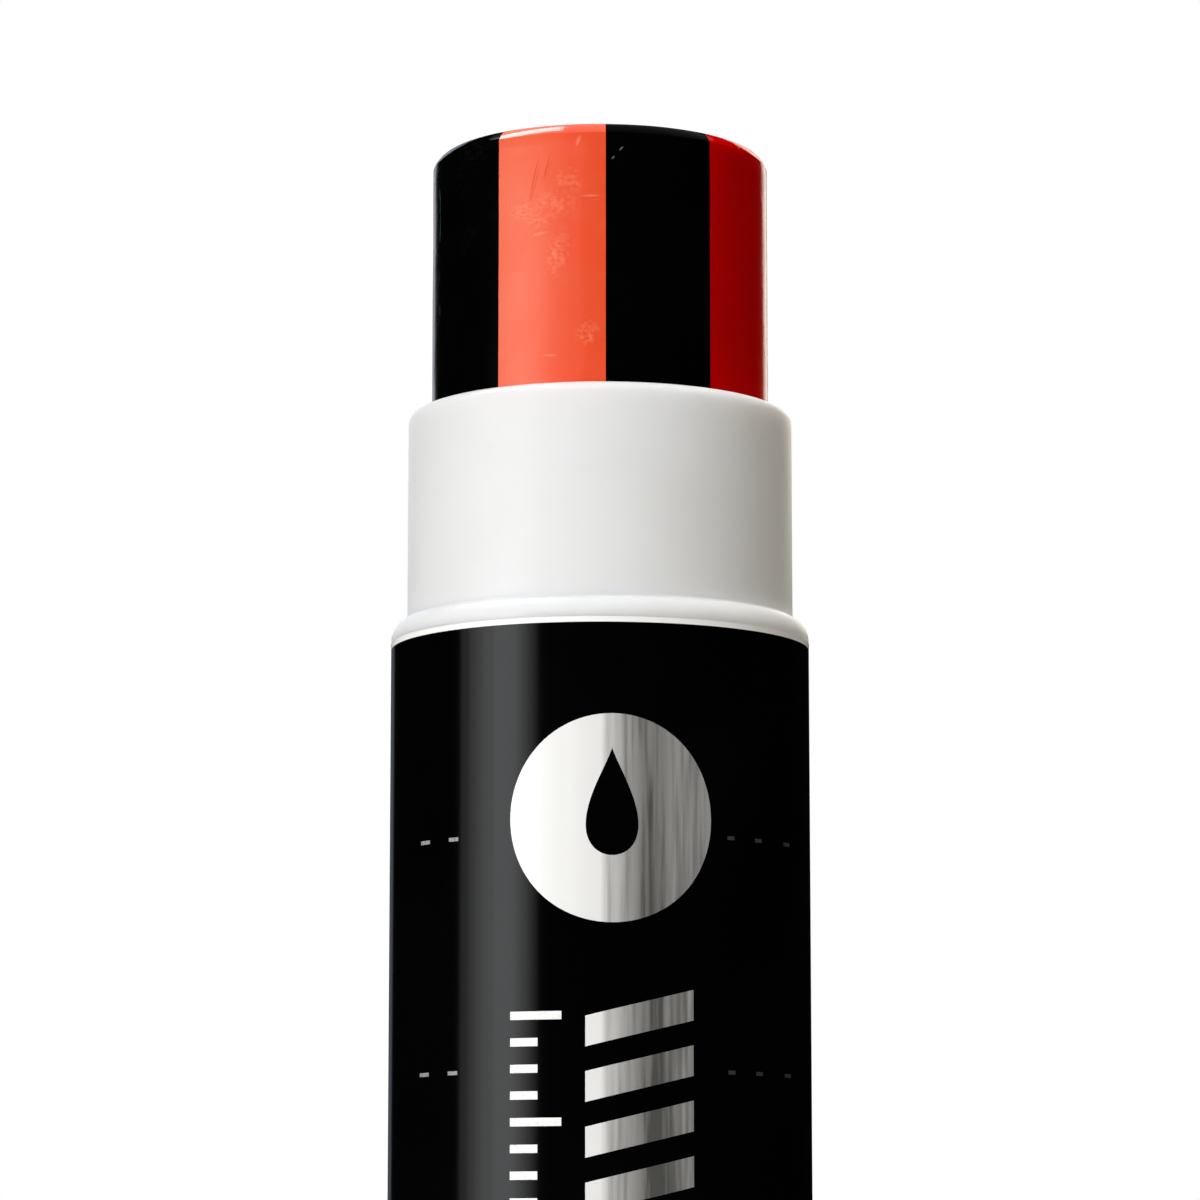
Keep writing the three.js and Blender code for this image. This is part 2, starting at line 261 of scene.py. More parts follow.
def makeBlackFilm():
    material, r = newMaterial("glossBlackFilm")
    haze = r.grain(9 * mm, detail=2.0, seed=1.0)
    wave = r.grain(2.4 * mm, detail=1.0, stretch=(1, 1, 0.35), seed=6.0)
    rub = r.grain(0.5 * mm, detail=4.0, stretch=(1, 1, 0.08), seed=9.0).above(0.62, 0.8)
    height = r.node("SeparateXYZ", {}, {0: r.point()}, out=2)
    level = r.node("VectorMath", {"operation": "MULTIPLY"}, {0: r.point(), 1: (1, 1, 0)})
    outside = r.length(level).above(*(bodyRadius + depth for depth in filmLook["inside"]))
    end = filmLook["printEnd"]
    bare = height.above(filmTop - end, filmTop + end).most(1 - outside)  # white edge, whiter than the tube as a painted highlight along the flange's lower edge, and underside
    printed = r.blend(haze.above(0.4, 0.7), filmLook["black"], filmLook["haze"])
    r.surface(
        Base_Color=r.blend(bare, printed, filmLook["bare"]),
        Roughness=haze.scaled(*filmLook["roughness"]) + rub * filmLook["rubbed"],
        IOR=1.5,
        Specular_IOR_Level=0.25,
        Normal=r.bump(wave, 0.003 * mm),
    )
    return material


# Foil: hot-stamped silver with streaks along the tube, and a painted reflection in its colour: near white
# on the left side, dark grey on the right

foilLook = {
    # the two ends of a painted reflection across the foil: near white where it is lit, dark grey where it
    # is not
    "bright": (0.95, 0.95, 0.945, 1),
    "darkReflection": (0.09, 0.09, 0.083, 1),
    "metallic": 0.1,
    "roughness": (0.3, 0.42),
    # painted reflection: where across the front the foil turns from its bright left side to dark, and
    # lightens a little again at the far right
    "wearAndReflection": (-0.1 * mm, 0.45 * mm),
    "fade": (0.2 * mm, 1.9 * mm),
    "back": (2.5 * mm, 3.2 * mm),
    "streaks": (-0.12, 0.14),
}


def makeFoil():
    material, r = newMaterial("streakedSilverFoil")
    wide = r.grain(0.9 * mm, detail=2.0, stretch=(1, 1, 0.05), seed=2.0)
    fine = r.grain(0.22 * mm, detail=3.0, stretch=(1, 1, 0.04), seed=7.0)
    across = r.node("SeparateXYZ", {}, {0: r.point()})
    # painted reflection in the base colour, bright on the left and dark grey on the right; the streaks
    # show only on the dark side
    wearAndReflection = across.above(*foilLook["wearAndReflection"])
    fade = across.above(*foilLook["fade"]) * 0.44 - across.above(*foilLook["back"]) * 0.16
    lines = (wide * 0.6 + fine * 0.4).above(0.42, 0.64).scaled(*foilLook["streaks"])
    streakAndReflection = (wearAndReflection * 0.5 + fade + lines * wearAndReflection).most(0.05)
    r.surface(
        Base_Color=r.blend(streakAndReflection, foilLook["bright"], foilLook["darkReflection"]),
        Metallic=foilLook["metallic"],
        Roughness=streakAndReflection.scaled(*foilLook["roughness"]),
        Normal=r.bump(fine, 0.004 * mm),
    )
    return material


inkLooks = {
    "white": {"full": (0.92, 0.92, 0.91, 1), "thin": (0.8, 0.8, 0.79, 1), "roughness": (0.35, 0.5)},
    "grey": {
        "full": (0.33, 0.33, 0.32, 1),
        # on the right-hand dashes this thin colour is a painted shade
        "thin": (0.045, 0.045, 0.043, 1),
        "roughness": (0.35, 0.5),
    },
}


def makeInk(kind):
    look = inkLooks[kind]
    material, r = newMaterial(kind + "Ink")
    inkCoverAndShade = r.grain(0.14 * mm, detail=3.0, seed=3.0).above(0.5, 0.7)
    if kind == "grey":  # the dashes on the right side are darker: painted shade, as if lit from the left
        across = r.node("SeparateXYZ", {}, {0: r.point()})
        inkCoverAndShade = across.above(-2 * mm, 2 * mm).most(inkCoverAndShade * 0.5)
    r.surface(
        Base_Color=r.blend(inkCoverAndShade, look["full"], look["thin"]),
        Roughness=inkCoverAndShade.scaled(*look["roughness"]),
        Normal=r.bump(inkCoverAndShade, 0.002 * mm),
    )
    return material


# Paint: pigment in wax, cast smooth, then handled

paintLooks = {
    "orange": {
        "colour": (0.82, 0.08, 0.026, 1),
        "mottle": (0.81, 0.1, 0.04, 1),
        # painted sheen: a paler, less saturated orange where the gloss catches the light on the left of
        # the front
        "paintedSheen": (0.8, 0.165, 0.085, 1),
        "scuff": (0.95, 0.3, 0.19, 1),
        "shine": 0.6,
        "clean": 0.26,
        "wearAndReflection": 0.6,
    },
    "red": {
        "colour": (0.5, 0.0004, 0.0004, 1),
        "mottle": (0.46, 0.0006, 0.0006, 1),
        "scuff": (0.62, 0.05, 0.04, 1),
        "shine": 0.08,
        "clean": 0.16,
        "wearAndReflection": 0.3,
    },
    "black": {
        "colour": (0.0006, 0.0006, 0.0007, 1),
        "mottle": (0.001, 0.001, 0.0012, 1),
        "scuff": (0.3, 0.3, 0.32, 1),
        "shine": 0.02,
        "clean": 0.16,
        "wearAndReflection": 0.015,
    },
}
waxSurface = {
    "scuffed": 0.45,
    "relief": 0.03 * mm,
    "rubbedFrom": 0.5 * mm,
    "rubbedFull": 0.42 * mm,
    "rubbedGloss": 0.6,
}

# Handling marks near the tip, each as millimetres across the front and under the tip, half width,
# half length and lean in degrees
paintMarks = {
    "orange1": {
        "scratches": [
            (-2.75, 2.4, 0.1, 1.25, 12),
            (-2.2, 1.9, 0.09, 0.6, 17),
            (-0.4, 3.35, 0.5, 0.06, 0),
        ],
        "nicks": [
            (-2.5, 4.72, 0.42, 0.11, -6),
            (-0.9, 0.8, 0.11, 0.3, 20),
            (-2.1, 10.0, 0.4, 0.08, 3),
            (-0.4, 3.2, 0.55, 0.06, 0),
        ],
        # a painted sheen over the left of the front
        "paintedSheen": [(-4.0, 5.5, 3.2, 13, 0)],
        "crackle": [
            (-1.85, 3.45, 1.1, 0.85, 0),
            (-3.2, 3.65, 0.7, 0.5, 0),
            (-2.55, 4.15, 0.6, 0.45, 0),
            (-1.35, 2.6, 0.8, 0.8, 20),
            (-1.75, 5.6, 0.6, 1.3, 8),
            (-0.5, 9.1, 0.6, 0.7, 30),
        ],
    },
    "black1": {
        "scratches": [(2.6, 6.4, 0.03, 0.5, -20)],
        "nicks": [(0.9, 1.15, 0.05, 0.16, 43), (0.56, 1.55, 0.05, 0.12, 43)],
    },
}


def makePaint(kind, index):
    look = paintLooks[kind]
    marks = paintMarks.get(f"{kind}{index}")
    material, r = newMaterial(f"{kind}Wax{index}")
    mottle = r.grain(1.8 * mm, detail=3.0, seed=index).above(0.35, 0.7)
    bruise = r.grain(0.7 * mm, detail=1.0, seed=index + 2.0)
    strokes = r.grain(0.2 * mm, detail=2.0, stretch=(0.8, 0.8, 1.2), seed=index + 4.0).above(0.4, 0.7)
    if marks:
        wear = r.spots(marks["nicks"])
        if "crackle" in marks:
            wear = wear.most(strokes * r.spots(marks["crackle"]))
        groove = r.spots(marks["scratches"])
    else:
        patch = r.grain(3.2 * mm, detail=1.0, seed=index + 11.0).above(0.62, 0.74)
        wear = patch * strokes * look["wearAndReflection"]
        groove = r.grain(0.6 * mm, detail=1.0, stretch=(3, 3, 0.25), seed=index + 7.0).above(0.7, 0.74)
    body = r.blend(mottle * 0.6, look["colour"], look["mottle"])
    # painted sheen: the spot turns the paint paler, as the gloss would
    if marks and "paintedSheen" in marks:
        body = r.blend(r.spots(marks["paintedSheen"]) * 0.6, body, look["paintedSheen"])
    relief = bruise * 0.35 + wear * 0.5 - groove * 0.8
    height = r.node("SeparateXYZ", {}, {0: r.point()}, out=2)
    rubbed = height.above(paintTop - waxSurface["rubbedFrom"], paintTop - waxSurface["rubbedFull"])
    gloss = wear.scaled(look["clean"], waxSurface["scuffed"])
    r.surface(
        Base_Color=r.blend(wear * 0.5, body, look["scuff"]),
        Roughness=gloss * (1 - rubbed * waxSurface["rubbedGloss"]),
        IOR=1.45,
        Specular_IOR_Level=look["shine"],
        Normal=r.bump(relief, waxSurface["relief"]),
    )
    return material


# Meshes

def finishPiece(name, bm, material, body, nodes, smoothAngle=35):
    bmesh.ops.remove_doubles(bm, verts=bm.verts, dist=0.0005 * mm)
    bmesh.ops.recalc_face_normals(bm, faces=bm.faces)
    mesh = bpy.data.meshes.new(name)
    bm.to_mesh(mesh)
    bm.free()
    for face in mesh.polygons:
        face.use_smooth = True
    mesh.set_sharp_from_angle(angle=math.radians(smoothAngle))
    piece = bpy.data.objects.new(name, mesh)
    bpy.context.scene.collection.objects.link(piece)
    mesh.materials.append(material)
    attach(piece, body)
    if nodes:
        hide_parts(*nodes)
    return piece


def addLoop(bm, profile, closed=True):  # a profile of (radius, height) drawn on the front half plane
    verts = [bm.verts.new((0, -radius, height)) for radius, height in profile]
    pairs = list(zip(verts, verts[1:]))
    if closed:
        pairs.append((verts[-1], verts[0]))
    edges = [bm.edges.new(pair) for pair in pairs]
    return verts, edges


def spinRound(bm, profile, steps, closed=True):
    verts, edges = addLoop(bm, profile, closed)
    bmesh.ops.spin(
        bm, geom=verts + edges, cent=(0, 0, 0), axis=(0, 0, 1), angle=fullTurn, steps=steps, use_merge=True
    )


def arc(centreRadius, centreHeight, size, start, end, steps):
    points = []
    for i in range(steps + 1):
        angle = math.radians(start + (end - start) * i / steps)
        points.append((centreRadius + size * math.cos(angle), centreHeight + size * math.sin(angle)))
    return points


def rise(radius, low, high, steps):  # a straight wall cut into even steps
    return [(radius, low + (high - low) * i / steps) for i in range(steps + 1)]


# Barrel

barrelShape = {
    "wall": 0.85 * mm,
    "boreGap": 0.15 * mm,
    "recess": 0.25 * mm,
    "flange": 1.15 * mm,
    "flangeInset": 0.018 * mm,
    "shoulder": 0.74 * mm,
    "shoulderRound": 1.15,
    "neckHeight": 9.1 * mm,
    "neckFillet": 0.16 * mm,
    "neckRows": 12,
    "rim": 0.45 * mm,
    "mouth": 0.2 * mm,
    "lip": 1.2 * mm,
    "tailEdge": 0.3 * mm,
    "grooveDepth": 0.4 * mm,
    "groove": (14.25 * mm, 15.75 * mm),
    "keyways": 4,
    "keywayTop": 87.2 * mm,
    "keywayHalf": math.radians(9.1),
    "keywayGap": 0.2 * mm,
    "steps": 240,
}


def cutKeyways(bm):  # the channels that keep the carrier from turning
    s = barrelShape
    outer = carrierHigh.x + s["keywayGap"]
    pitch = fullTurn / s["keyways"]
    top = s["keywayTop"] + 0.001 * mm
    for v in bm.verts:
        angle = math.atan2(v.co.y, v.co.x)
        off = abs(angle - pitch * round(angle / pitch))
        radius = v.co.xy.length
        if radius < outer and v.co.z < top and off < s["keywayHalf"]:
            v.co.xy *= outer / radius


def makeBarrel(material):
    s = barrelShape
    bore = paintRadius + s["boreGap"]
    neck = bore + s["wall"]
    neckLow = rimLevel - s["neckHeight"]
    flangeLow = neckLow - s["flange"]
    recess = bodyRadius - s["recess"]
    flange = bodyRadius - s["flangeInset"]
    lipTop = tailLevel + s["lip"]
    profile = [(bore + s["tailEdge"], tailLevel)]
    profile += arc(bodyRadius - s["tailEdge"], tailLevel + s["tailEdge"], s["tailEdge"], -90, 0, 8)
    profile += [(bodyRadius, lipTop), (recess, lipTop), (recess, flangeLow), (flange, flangeLow)]
    ledge = neck + s["neckFillet"]
    for radius, height in arc(0, 0, 1, 0, 88, 16):  # the shoulder falls in one long round
        out, up = radius ** s["shoulderRound"], height ** s["shoulderRound"]
        profile.append((ledge + (flange - ledge) * out, neckLow + s["shoulder"] * (up - 1)))
    profile += arc(ledge, neckLow + s["neckFillet"], s["neckFillet"], 265, 180, 6)
    profile += rise(neck, neckLow + 0.6 * mm, rimLevel - 1.2 * mm, s["neckRows"])
    profile += arc(neck - s["rim"], rimLevel - s["rim"], s["rim"], 0, 90, 12)
    profile += arc(bore + s["mouth"], rimLevel - s["mouth"], s["mouth"], 90, 180, 6)
    profile += [(bore, s["keywayTop"] + 0.01 * mm), (bore, s["keywayTop"])]
    low, high = s["groove"]
    deep = s["grooveDepth"]
    profile += [(bore, high + deep), (bore + deep, high), (bore + deep, low), (bore, low - deep)]
    profile += [(bore, tailLevel + s["tailEdge"])]
    bm = bmesh.new()
    spinRound(bm, profile, s["steps"])
    cutKeyways(bm)
    return finishPiece("barrel_tube", bm, material, "tube", ["barrel"])


# Film

filmShape = {
    "thickness": 0.2 * mm,
    "inset": 0.012 * mm,
    "edge": 0.004 * mm,
    "margin": 0.23 * mm,
    "marginThickness": 0.015 * mm,
    "rows": 24,
    "steps": 240,
}


def makeFilm(material):
    s = filmShape
    outer = bodyRadius - s["inset"]
    inner = bodyRadius - s["thickness"]
    profile = [(inner, filmBottom), (outer - s["edge"], filmBottom), (outer, filmBottom + s["edge"])]
    profile += rise(outer, filmBottom + 1 * mm, filmTop - 1 * mm, s["rows"])
    top = filmTop + s["margin"]  # its thin edge runs up the flange
    thin = bodyRadius - s["marginThickness"]
    profile += [(outer, filmTop), (bodyRadius, top), (thin, top), (thin, filmTop), (inner, filmTop)]
    bm = bmesh.new()
    spinRound(bm, profile, s["steps"])
    return finishPiece("film_wrap", bm, material, "tube", ["printed_film"])


# Prints: flat shapes with x across the front and y up the tube, bent round the film

printShape = {"lift": 0.008 * mm, "slice": 0.35 * mm, "lowest": filmBottom + 9 * mm}
printRadius = bodyRadius - printShape["lift"] / 2


def addPatch(bm, corners):
    bm.faces.new([bm.verts.new((x, y, 0)) for x, y in corners])


def slicePrint(bm):
    for axis in (Vector((1, 0, 0)), Vector((0, 1, 0))):
        reach = [v.co.dot(axis) for v in bm.verts]
        count = int((max(reach) - min(reach)) / printShape["slice"])
        for i in range(1, count + 1):
            cut = axis * (min(reach) + i * printShape["slice"])
            parts = bm.verts[:] + bm.edges[:] + bm.faces[:]
            bmesh.ops.bisect_plane(bm, geom=parts, plane_co=cut, plane_no=axis)


def finishPrint(name, bm, material, sliced=True):
    made = bmesh.ops.extrude_face_region(bm, geom=bm.faces[:])
    moved = [v for v in made["geom"] if isinstance(v, bmesh.types.BMVert)]
    bmesh.ops.translate(bm, verts=moved, vec=(0, 0, -printShape["lift"]))
    if sliced:
        slicePrint(bm)
    for v in bm.verts:
        angle = v.co.x / bodyRadius
        radius = printRadius + v.co.z
        v.co = Vector((radius * math.sin(angle), -radius * math.cos(angle), v.co.y))
    return finishPiece(name, bm, material, "tube", [])


roundelShape = {
    "centre": (0.5 * mm, -8.1 * mm),
    "radius": 4.3 * mm,
    "drop": 1.55 * mm,
    "dropTip": 2.9 * mm,
    "corners": 96,
}


def makeRoundel(material):
    s = roundelShape
    cx, cy = s["centre"][0], filmTop + s["centre"][1]
    bm = bmesh.new()
    outer = []
    inner = []
    for i in range(s["corners"]):
        angle = fullTurn * i / s["corners"]
        x, y = s["radius"] * math.sin(angle), s["radius"] * math.cos(angle)
        outer.append(bm.verts.new((cx + x, cy + y, 0)))
        point = math.sin(angle / 2) ** 1.5  # narrows the drop towards its tip
        height = s["dropTip"] * (math.cos(angle) + 1) / 2 + s["drop"] * (math.cos(angle) - 1) / 2
        inner.append(bm.verts.new((cx + s["drop"] * math.sin(angle) * point, cy + height, 0)))
    edges = []
    for ring in (outer, inner):
        for i, vert in enumerate(ring):
            edges.append(bm.edges.new((vert, ring[(i + 1) % len(ring)])))
    bmesh.ops.bridge_loops(bm, edges=edges)
    return finishPrint("foil_roundel", bm, material)


slantBars = {
    "left": -0.6 * mm,
    "right": 3.95 * mm,
    "top": -15.1 * mm,
    "pitch": 2.25 * mm,
    "height": 1.25 * mm,
    "slant": 1.1 * mm,
}


def makeSlantBars(material):
    s = slantBars
    bm = bmesh.new()
    level = filmTop + s["top"]
    while level - s["height"] > printShape["lowest"]:
        corners = [
            (s["left"], level - s["slant"]),
            (s["left"], level - s["slant"] - s["height"]),
            (s["right"], level - s["height"]),
            (s["right"], level),
        ]
        addPatch(bm, corners)
        level -= s["pitch"]
    return finishPrint("foil_bars", bm, material)


tickScale = {
    "left": -3.78 * mm,
    "long": 2.2 * mm,
    "short": 1.2 * mm,
    "longEvery": 4,
    "top": -16 * mm,
    "pitch": 1.08 * mm,
    "height": 0.34 * mm,
}


def makeTicks(material):
    s = tickScale
    bm = bmesh.new()
    level = filmTop + s["top"]
    count = 0
    while level > printShape["lowest"]:
        left = s["left"]
        right = left + (s["short"] if count % s["longEvery"] else s["long"])
        low = level - s["height"]
        addPatch(bm, [(left, low), (right, low), (right, level), (left, level)])
        level -= s["pitch"]
        count += 1
    return finishPrint("scale_ticks", bm, material)


dashLines = {
    "first": -8.86 * mm,
    "pitch": 9.64 * mm,
    "count": 7,
    "height": 0.16 * mm,
    "marks": (  # degrees from the front, length
        (-54, 0.66 * mm),
        (-42.4, 0.54 * mm),
        (37, 0.36 * mm),
        (47, 0.4 * mm),
        (60.3, 0.54 * mm),
    ),
}


def makeDashes(material):
    s = dashLines
    bm = bmesh.new()
    for row in range(s["count"]):
        low = filmTop + s["first"] - row * s["pitch"]
        high = low + s["height"]
        for degrees, length in s["marks"]:
            middle = math.radians(degrees) * bodyRadius
            left, right = middle - length / 2, middle + length / 2
            addPatch(bm, [(left, low), (right, low), (right, high), (left, high)])
    return finishPrint("dash_rings", bm, material, sliced=False)


# Paint stick

stickShape = {
    "frontSeam": 1.9,
    "frontWedge": 38,
    "order": ["orange", "black", "red", "black"],
    "edge": (0.38 * mm, 0.46 * mm),
    "edgeFlat": 1.6,
    "tipRings": (0.85, 0.7, 0.55, 0.4, 0.2, 0),
    "stub": 6.3 * mm,
    "hole": 3.2 * mm,
    "stubGap": 0.3 * mm,
    "solidTip": 9 * mm,
    "rowHeight": 0.45 * mm,
    "degreesPerStep": 1.6,
    "ripple": 0.03 * mm,
    "rippleSize": 1.6 * mm,
}


def stickRadius(point):  # the waxy surface is a little uneven, the same on both sides of a seam
    place = Vector((point.x, point.y, point.z * 0.6)) / stickShape["rippleSize"]
    return stickShape["ripple"] * (noise.noise(place) * 0.5 + 0.5)


def wedgeSeams():
    s = stickShape
    rest = (360 - 2 * s["frontWedge"]) / (len(wedgeNames) - 2)
    seams = [s["frontSeam"] - s["frontWedge"], s["frontSeam"], s["frontSeam"] + s["frontWedge"]]
    while len(seams) <= len(wedgeNames):
        seams.append(seams[-1] + rest)
    return seams


def makeWedge(kind, index, start, end, material):
    s = stickShape
    stubTop = cupTop + s["stubGap"]
    holeTop = paintTop - s["solidTip"]
    across, under = s["edge"]
    rows = round((paintTop - under - stubTop) / s["rowHeight"])
    profile = [(s["hole"], paintLow), (s["stub"], paintLow), (s["stub"], stubTop)]
    profile += rise(paintRadius, stubTop, paintTop - under, rows)[:-1]
    for out, up in arc(0, 0, 1, 0, 90, 12):  # a rubbed edge, flatter than round
        out, up = max(out, 0) ** s["edgeFlat"], up ** s["edgeFlat"]
        profile.append((paintRadius - across * (1 - out), paintTop - under * (1 - up)))
    profile += [(paintRadius * share, paintTop) for share in s["tipRings"]]
    profile += [(0, holeTop), (s["hole"], holeTop)]
    bm = bmesh.new()
    verts, edges = addLoop(bm, profile)
    section = bm.faces.new(verts)
    bmesh.ops.rotate(bm, verts=verts, cent=(0, 0, 0), matrix=Matrix.Rotation(math.radians(start), 3, "Z"))
    bmesh.ops.spin(
        bm,
        geom=[section] + edges + verts,
        cent=(0, 0, 0),
        axis=(0, 0, 1),
        angle=math.radians(end - start),
        steps=round((end - start) / s["degreesPerStep"]),
    )
    for v in bm.verts:
        radius = math.hypot(v.co.x, v.co.y)
        if radius > paintRadius - across * 1.5:
            v.co.xy *= 1 - stickRadius(v.co) / radius
        elif v.co.z > paintTop - 0.01 * mm:
            v.co.z -= stickRadius(v.co * 0.8)
    name = f"paint_{kind}_{index}"
    return finishPiece(f"wedge_{kind}_{index}", bm, material, "stick", [name], 30)


# Knob

knobShape = {
    "footRing": 1.8 * mm,
    "footRound": 0.6 * mm,
    "footDish": 0.5 * mm,
    "band": 1.4 * mm,
    "bandEdge": 0.3 * mm,
    "gripInset": 0.15 * mm,
    "gripRows": 28,
    "flutes": 30,
    "fluteDepth": 0.36 * mm,
    "height": 12 * mm,
    "fluteEnd": 0.9 * mm,
    "sleeveGap": 0.2 * mm,
    "bead": 0.35 * mm,
    "beadLevels": (0, 0.25 * mm, 0.5 * mm, 1 * mm),
    "sleeveLead": 0.17 * mm,
    "sleeveWall": 0.95 * mm,
    "floor": 1.1 * mm,
    "boss": 4.2 * mm,
    "bossTop": 11 * mm,
    "socket": 4.6 * mm,
    "socketFloor": 0.7 * mm,
    "webs": 6,
    "webThickness": 0.8 * mm,
    "webTop": 8.5 * mm,
    "steps": 240,
}


def addSocket(bm, floor):  # the hexagonal socket that drives the screw
    s = knobShape
    rim = [edge for edge in bm.edges if edge.is_boundary and edge.verts[0].co.z > s["bossTop"] - 0.01 * mm]
    place = Matrix.Translation((0, 0, s["bossTop"])) @ Matrix.Rotation(math.radians(30), 4, "Z")
    radius = s["socket"] / math.sqrt(3)
    corners = bmesh.ops.create_circle(bm, segments=6, radius=radius, matrix=place)["verts"]
    sides = list({edge for v in corners for edge in v.link_edges})
    bmesh.ops.subdivide_edges(bm, edges=sides, cuts=7)
    mouth = [edge for edge in bm.edges if edge.is_wire]
    bmesh.ops.bridge_loops(bm, edges=rim + mouth)
    walls = bmesh.ops.extrude_edge_only(bm, edges=mouth)["geom"]
    low = [item for item in walls if isinstance(item, bmesh.types.BMVert)]
    bmesh.ops.translate(bm, verts=low, vec=(0, 0, floor + s["socketFloor"] - s["bossTop"]))
    bmesh.ops.contextual_create(bm, geom=[item for item in walls if isinstance(item, bmesh.types.BMEdge)])


def addWebs(bm, floor, bore):
    s = knobShape
    length = bore - s["boss"] + 0.4 * mm
    height = s["webTop"] - floor + 0.2 * mm
    middle = Matrix.Translation(((bore + s["boss"]) / 2, 0, floor - 0.2 * mm + height / 2))
    size = Matrix.Diagonal((length, s["webThickness"], height, 1))
    for i in range(s["webs"]):
        turn = Matrix.Rotation(fullTurn * i / s["webs"], 4, "Z")
        bmesh.ops.create_cube(bm, size=1, matrix=turn @ middle @ size)


def makeKnob(material):
    s = knobShape
    ring = knobRadius - s["footRound"] - s["footRing"]
    sleeve = paintRadius + barrelShape["boreGap"] - s["sleeveGap"]
    sleeveTop = knobHigh.z
    beadLow = (s["height"] + sleeveTop) / 2
    gripLow = s["band"]
    gripHigh = s["height"] - s["band"]
    grip = knobRadius - s["gripInset"]
    profile = [(0, s["footDish"]), (ring, s["footDish"])]
    profile += arc(ring + s["footDish"], s["footDish"], s["footDish"], 180, 270, 5)[1:]
    profile += arc(knobRadius - s["footRound"], s["footRound"], s["footRound"], -90, 0, 8)
    edge = s["bandEdge"] / 2
    profile += arc(knobRadius - edge, gripLow - edge, edge, 0, 90, 4)
    profile += rise(grip, gripLow + 0.02 * mm, gripHigh - 0.02 * mm, s["gripRows"])
    profile += arc(knobRadius - edge, gripHigh + edge, edge, -90, 0, 4)
    profile += arc(knobRadius - s["bandEdge"], s["height"] - s["bandEdge"], s["bandEdge"], 0, 90, 6)
    profile += [(sleeve, s["height"])]
    for reach, level in zip((0, s["bead"], s["bead"], 0), s["beadLevels"]):
        profile.append((sleeve + reach, beadLow + level))
    profile += [(sleeve - s["sleeveLead"], sleeveTop)]
    floor = s["footDish"] + s["floor"]
    profile += [(sleeve - s["sleeveWall"], sleeveTop), (sleeve - s["sleeveWall"], floor)]
    profile += [(s["boss"], floor), (s["boss"], s["bossTop"])]
    bm = bmesh.new()
    spinRound(bm, profile, s["steps"], closed=False)
    for v in bm.verts:
        radius = math.hypot(v.co.x, v.co.y)
        if radius < grip - 0.05 * mm or not gripLow < v.co.z < gripHigh:
            continue
        run = min(v.co.z - gripLow, gripHigh - v.co.z)  # the flutes run out in a round at each end
        fade = math.sqrt(max(0, 1 - (1 - min(run / s["fluteEnd"], 1)) ** 2))
        share = (math.atan2(v.co.y, v.co.x) * s["flutes"] / fullTurn) % 1
        dip = max(0, math.sin(math.pi * (share * 1.5 - 0.25)))
        v.co.xy *= 1 - s["fluteDepth"] * dip * fade / radius
    addSocket(bm, floor)
    addWebs(bm, floor, sleeve - s["sleeveWall"])
    return finishPiece("knob_grip", bm, material, "knob", ["twist_knob"], 40)


# Build

print("materials")
whitePlastic = makeWhitePlastic()
naturalPlastic = makeNaturalPlastic()
blackFilm = makeBlackFilm()
foil = makeFoil()

print("tube and film")
makeBarrel(whitePlastic)
makeFilm(blackFilm)

print("prints")
makeRoundel(foil)
makeSlantBars(foil)
makeTicks(makeInk("white"))
makeDashes(makeInk("grey"))

print("paint stick")
counts = {}
seams = wedgeSeams()
for i in range(len(wedgeNames)):
    kind = stickShape["order"][i % len(stickShape["order"])]
    counts[kind] = counts.get(kind, 0) + 1
    makeWedge(kind, counts[kind], seams[i], seams[i + 1], makePaint(kind, counts[kind]))

print("knob and screw")
makeKnob(whitePlastic)
for name in ("lead_screw", "carrier"):
    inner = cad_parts[name]
    inner.data.materials.clear()
    inner.data.materials.append(naturalPlastic)


# Floor, light and camera

studio = {
    "floorSize": 6.0,
    "floor": 0.9,
    "floorFade": (0.1, 0.5),
    "mirrored": 0.02,
    "white": 1.0,
    "ambient": 0.08,
    "ambientTint": (1.0, 0.92, 0.8, 1.0),
    "lampTint": (0.965, 0.98, 1.0),
    "warmTint": (1.0, 0.92, 0.78),
    "coldTint": (0.75, 0.85, 1.0),
    "bounce": (0.36, 0.325, 0.26, 1.0),
    "card": 0.01,
    "cardRadius": 1.3,
    "cardHeight": 1.6,
}


def makeFloor():
    bm = bmesh.new()
    bmesh.ops.create_grid(bm, x_segments=8, y_segments=8, size=studio["floorSize"] / 2)
    mesh = bpy.data.meshes.new("floor")
    bm.to_mesh(mesh)
    bm.free()
    floor = bpy.data.objects.new("floor", mesh)
    bpy.context.scene.collection.objects.link(floor)
    material, r = newMaterial("paleFloor")
    seen = r.node("LightPath", out=0)
    far = r.length(r.point()).above(*studio["floorFade"]) * seen
    mirrored = r.node("LightPath", out=3)
    lit = r.blend(mirrored, studio["bounce"], grey(studio["mirrored"]))
    colour = r.blend(seen, lit, grey(studio["floor"]))
    base = r.node("BsdfPrincipled", {}, {"Base Color": colour, "Roughness": 0.7})
    glow = r.node("Emission", {}, {"Color": grey(studio["white"]), "Strength": 1.0})
    mixed = r.node("MixShader", {}, {0: far, 1: base, 2: glow})
    r.node("OutputMaterial", {}, {"Surface": mixed})
    mesh.materials.append(material)


def makeWorld():
    world = bpy.data.worlds.new("studio")
    bpy.context.scene.world = world
    world.use_nodes = True
    r = Recipe(world.node_tree)
    camera = r.node("LightPath", out=0)
    glossy = r.node("LightPath", out=3)
    through = r.node("LightPath", out=6)
    shown = camera.most(glossy).most(through)
    tint = r.blend(shown, studio["ambientTint"], grey(1.0))
    light = r.node("Background", {}, {"Color": tint, "Strength": shown.scaled(studio["ambient"], 1.0)})
    r.node("OutputWorld", {}, {"Surface": light})


def aim(thing, place, target):
    thing.location = place
    direction = Vector(target) - Vector(place)
    thing.rotation_mode = "QUATERNION"
    thing.rotation_quaternion = direction.to_track_quat("-Z", "Y")


